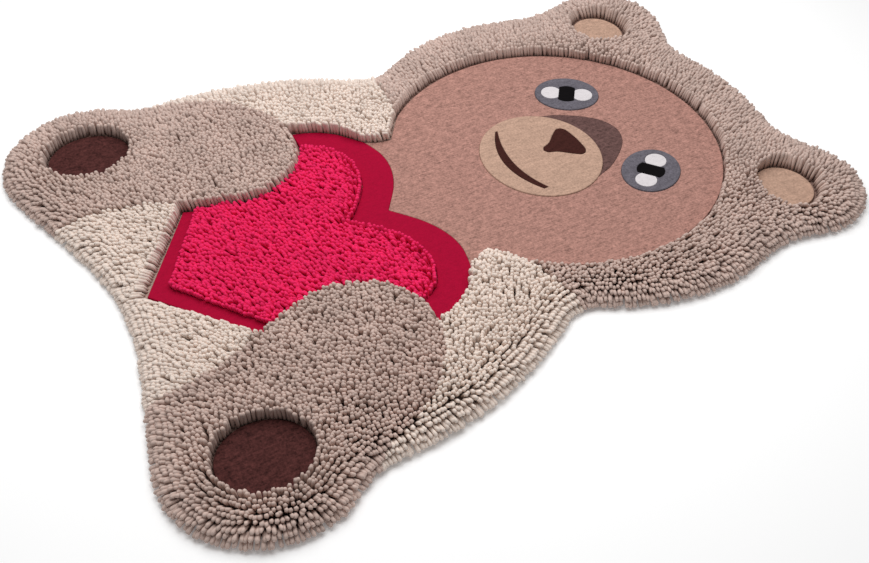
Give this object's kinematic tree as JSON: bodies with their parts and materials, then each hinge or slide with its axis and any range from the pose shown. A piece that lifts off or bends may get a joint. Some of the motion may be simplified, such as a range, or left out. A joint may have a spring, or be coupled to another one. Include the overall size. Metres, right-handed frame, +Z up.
{
  "type": "bear shaped kids rug",
  "caption": "Tufted shag rug in the outline of a seated teddy bear that holds a heart, with a low pile face and soles.",
  "frame": {"origin": "on the floor, under the middle of the rug's bounding box", "axes": "+Y from the bear's feet to its head, +X across the rug towards the bear's side named right here, +Z up from the floor"},
  "size_m": [0.9787, 1.2087, 0.0404],
  "materials": {
    "taupe_shag": "long felted wool shag, matt",
    "cream_shag": "long felted wool shag, matt",
    "face_pile": "low cut pile in fine rows, matt",
    "muzzle_pile": "low cut pile, matt",
    "bridge_pile": "low cut pile, matt",
    "nose_pile": "low cut pile, matt",
    "eye_pile": "low cut pile, matt",
    "pupil_pile": "low cut pile, matt",
    "glint_pile": "low cut pile, matt",
    "border_pile": "low dense cut pile, matt",
    "heart_pile": "middle-length felted wool pile, matt with a soft sheen",
    "backing_cloth": "plain woven cotton cloth, matt"
  },
  "bodies": {
    "root": {"crown": "taupe_shag", "ear_left": "taupe_shag", "ear_right": "taupe_shag", "cheek_left": "taupe_shag", "cheek_right": "taupe_shag", "leg_left": "taupe_shag", "leg_right": "taupe_shag", "foot_left": "taupe_shag", "foot_right": "taupe_shag", "body_side_left": "cream_shag", "body_side_right": "cream_shag", "body_bottom": "cream_shag", "face": "face_pile", "muzzle": "muzzle_pile", "ear_inner_left": "muzzle_pile", "ear_inner_right": "muzzle_pile", "bridge": "bridge_pile", "nose": "nose_pile", "mouth": "nose_pile", "sole_left": "nose_pile", "sole_right": "nose_pile", "eye_left": "eye_pile", "eye_right": "eye_pile", "pupil_left": "pupil_pile", "pupil_right": "pupil_pile", "heart_border_top": "border_pile", "heart_border_tip": "border_pile", "heart_pile": "heart_pile", "backing": "backing_cloth"}
  },
  "joints": []
}
